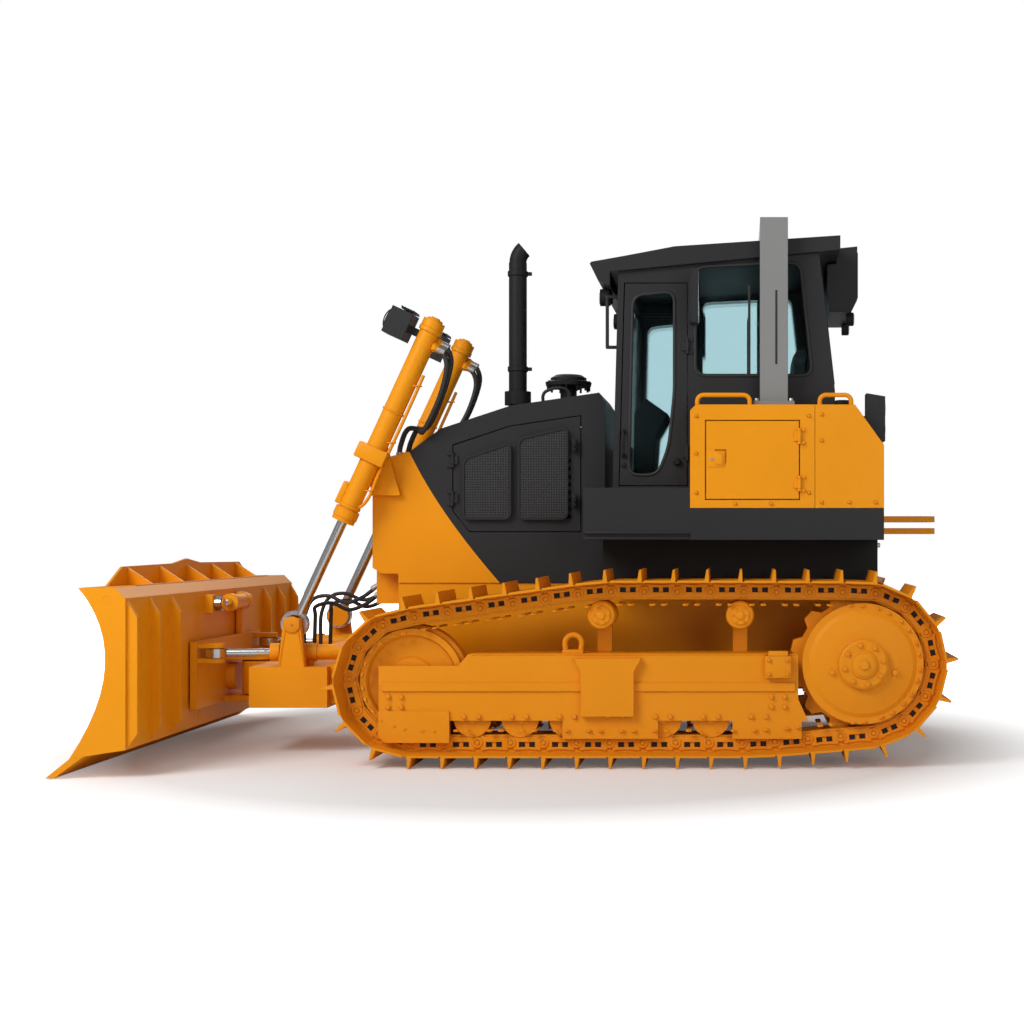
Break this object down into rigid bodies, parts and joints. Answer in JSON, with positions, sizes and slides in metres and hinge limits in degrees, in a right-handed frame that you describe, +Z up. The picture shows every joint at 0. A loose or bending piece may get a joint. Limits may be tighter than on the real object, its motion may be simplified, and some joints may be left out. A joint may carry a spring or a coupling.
{
  "type": "crawler bulldozer",
  "caption": "Crawler bulldozer on steel tracks with an enclosed cab, exhaust stack and a wide front blade that lifts, angles and tilts on hydraulic cylinders.",
  "frame": {"origin": "on the ground, midway between the front of the blade and the rear bracket, on the centre plane", "axes": "+Z up, the blade faces -X, the left side is -Y"},
  "size_m": [5.3, 3.35, 3.372],
  "materials": {
    "paint": "orange-yellow enamel, lightly worn",
    "dark_paint": "charcoal satin enamel",
    "grey_paint": "mid-grey satin enamel",
    "engine_metal": "painted casting",
    "running_gear": "painted steel, worn at the edges",
    "bright_rod": "hard chrome",
    "glass": "tinted clear",
    "seat": "woven"
  },
  "bodies": {
    "chassis": {"hull": "paint", "cross_shafts": "engine_metal", "radiator_guard": "paint", "radiator_grille": "dark_paint", "hood": "dark_paint", "engine": "engine_metal", "exhaust_stack": "dark_paint", "precleaner": "dark_paint", "cab_base": "dark_paint", "cab_shell": "dark_paint", "cab_glass": "glass", "cab_roof": "dark_paint", "rear_unit": "dark_paint", "seat_frame": "dark_paint", "seat_pads": "seat", "controls": "dark_paint", "roll_bar": "grey_paint", "fender_left": "dark_paint", "fender_right": "dark_paint", "side_box_left": "paint", "side_box_right": "paint", "rear_tank": "paint", "handrails": "paint", "cab_fittings": "dark_paint", "rear_lamps": "dark_paint", "rear_bracket": "paint", "track_frame_left": "paint", "track_frame_right": "paint", "track_left": "running_gear", "track_right": "running_gear", "idlers": "running_gear", "final_drives": "running_gear", "bottom_rollers": "running_gear", "carrier_rollers": "running_gear"},
    "engine_door_left": {"engine_door_left": "dark_paint"},
    "engine_door_right": {"engine_door_right": "dark_paint"},
    "cab_door_left": {"cab_door_left": "dark_paint", "door_glass_left": "glass"},
    "cab_door_right": {"cab_door_right": "dark_paint", "door_glass_right": "glass"},
    "locker_door": {"locker_door": "paint"},
    "push_frame": {"push_frame": "paint"},
    "carrier": {"blade_carrier": "paint"},
    "blade": {"moldboard": "paint", "cutting_edge": "running_gear", "spill_guard": "paint"},
    "lift_barrel_left": {"lift_barrel_left": "paint", "lift_lamp_left": "dark_paint"},
    "lift_barrel_right": {"lift_barrel_right": "paint", "lift_lamp_right": "dark_paint"},
    "lift_rod_left": {"lift_rod_left": "bright_rod"},
    "lift_rod_right": {"lift_rod_right": "bright_rod"},
    "angle_barrel_left": {"angle_barrel_left": "paint"},
    "angle_barrel_right": {"angle_barrel_right": "paint"},
    "angle_rod_left": {"angle_rod_left": "bright_rod"},
    "angle_rod_right": {"angle_rod_right": "bright_rod"},
    "tilt_barrel": {"tilt_barrel": "paint"},
    "tilt_rod": {"tilt_rod": "bright_rod"}
  },
  "joints": [
    {"name": "blade_lift", "type": "hinge", "parent": "chassis", "child": "push_frame", "pos_m": [0.1, 0, 0.5], "axis": [0, 1, 0], "range_deg": [-8, 21]},
    {"name": "blade_angle", "type": "hinge", "parent": "push_frame", "child": "carrier", "pos_m": [-1.92, 0, 0.445], "axis": [0, 0, 1], "range_deg": [-25, 25]},
    {"name": "blade_tilt", "type": "hinge", "parent": "carrier", "child": "blade", "pos_m": [-2.19, 0, 0.45], "axis": [1, 0, 0], "range_deg": [-8, 8]},
    {"name": "lift_barrel_left_swing", "type": "hinge", "parent": "chassis", "child": "lift_barrel_left", "pos_m": [-1.03, -0.56, 1.918], "axis": [0, 1, 0], "range_deg": [-3, 6]},
    {"name": "lift_rod_left_slide", "type": "slide", "parent": "lift_barrel_left", "child": "lift_rod_left", "axis": [0.4187, 0, 0.9081], "range_m": [-0.24, 0.61]},
    {"name": "angle_barrel_left_swing", "type": "hinge", "parent": "push_frame", "child": "angle_barrel_left", "pos_m": [-1.45, -0.5, 0.645], "axis": [0, 0, 1], "range_deg": [-9, 9]},
    {"name": "angle_rod_left_slide", "type": "slide", "parent": "angle_barrel_left", "child": "angle_rod_left", "axis": [0.9908, 0.1355, 0], "range_m": [-0.25, 0.25]},
    {"name": "lift_barrel_right_swing", "type": "hinge", "parent": "chassis", "child": "lift_barrel_right", "pos_m": [-1.03, 0.56, 1.918], "axis": [0, 1, 0], "range_deg": [-3, 6]},
    {"name": "lift_rod_right_slide", "type": "slide", "parent": "lift_barrel_right", "child": "lift_rod_right", "axis": [0.4187, 0, 0.9081], "range_m": [-0.24, 0.61]},
    {"name": "angle_barrel_right_swing", "type": "hinge", "parent": "push_frame", "child": "angle_barrel_right", "pos_m": [-1.45, 0.5, 0.645], "axis": [0, 0, 1], "range_deg": [-9, 9]},
    {"name": "angle_rod_right_slide", "type": "slide", "parent": "angle_barrel_right", "child": "angle_rod_right", "axis": [0.9908, -0.1355, 0], "range_m": [-0.25, 0.25]},
    {"name": "tilt_barrel_swing", "type": "hinge", "parent": "carrier", "child": "tilt_barrel", "pos_m": [-2.105, 0.3, 0.95], "axis": [1, 0, 0], "range_deg": [-5, 5]},
    {"name": "tilt_rod_slide", "type": "slide", "parent": "tilt_barrel", "child": "tilt_rod", "axis": [0, -1, 0], "range_m": [-0.08, 0.08]},
    {"name": "cab_door_left_swing", "type": "hinge", "parent": "chassis", "child": "cab_door_left", "pos_m": [0.999, -0.792, 2.3], "axis": [0, 0, 1], "range_deg": [0, 85]},
    {"name": "cab_door_right_swing", "type": "hinge", "parent": "chassis", "child": "cab_door_right", "pos_m": [0.999, 0.792, 2.3], "axis": [0, 0, -1], "range_deg": [0, 85]},
    {"name": "engine_door_left_swing", "type": "hinge", "parent": "chassis", "child": "engine_door_left", "pos_m": [-0.54, -0.452, 1.7], "axis": [0, 0, -1], "range_deg": [0, 90]},
    {"name": "engine_door_right_swing", "type": "hinge", "parent": "chassis", "child": "engine_door_right", "pos_m": [-0.54, 0.452, 1.7], "axis": [0, 0, 1], "range_deg": [0, 90]},
    {"name": "locker_door_swing", "type": "hinge", "parent": "chassis", "child": "locker_door", "pos_m": [1.694, -1.062, 1.85], "axis": [0, 0, 1], "range_deg": [0, 100]}
  ],
  "couplings": [
    {"joint": "lift_barrel_left_swing", "follows": "blade_lift", "ratio": 0.235},
    {"joint": "lift_rod_left_slide", "follows": "blade_lift", "m_per_rad": 1.635},
    {"joint": "angle_barrel_left_swing", "follows": "blade_angle", "ratio": 0.324},
    {"joint": "angle_rod_left_slide", "follows": "blade_angle", "m_per_rad": 0.553},
    {"joint": "lift_barrel_right_swing", "follows": "blade_lift", "ratio": 0.235},
    {"joint": "lift_rod_right_slide", "follows": "blade_lift", "m_per_rad": 1.635},
    {"joint": "angle_barrel_right_swing", "follows": "blade_angle", "ratio": 0.324},
    {"joint": "angle_rod_right_slide", "follows": "blade_angle", "m_per_rad": -0.553},
    {"joint": "tilt_barrel_swing", "follows": "blade_tilt", "ratio": 0.5},
    {"joint": "tilt_rod_slide", "follows": "blade_tilt", "m_per_rad": 0.5}
  ]
}
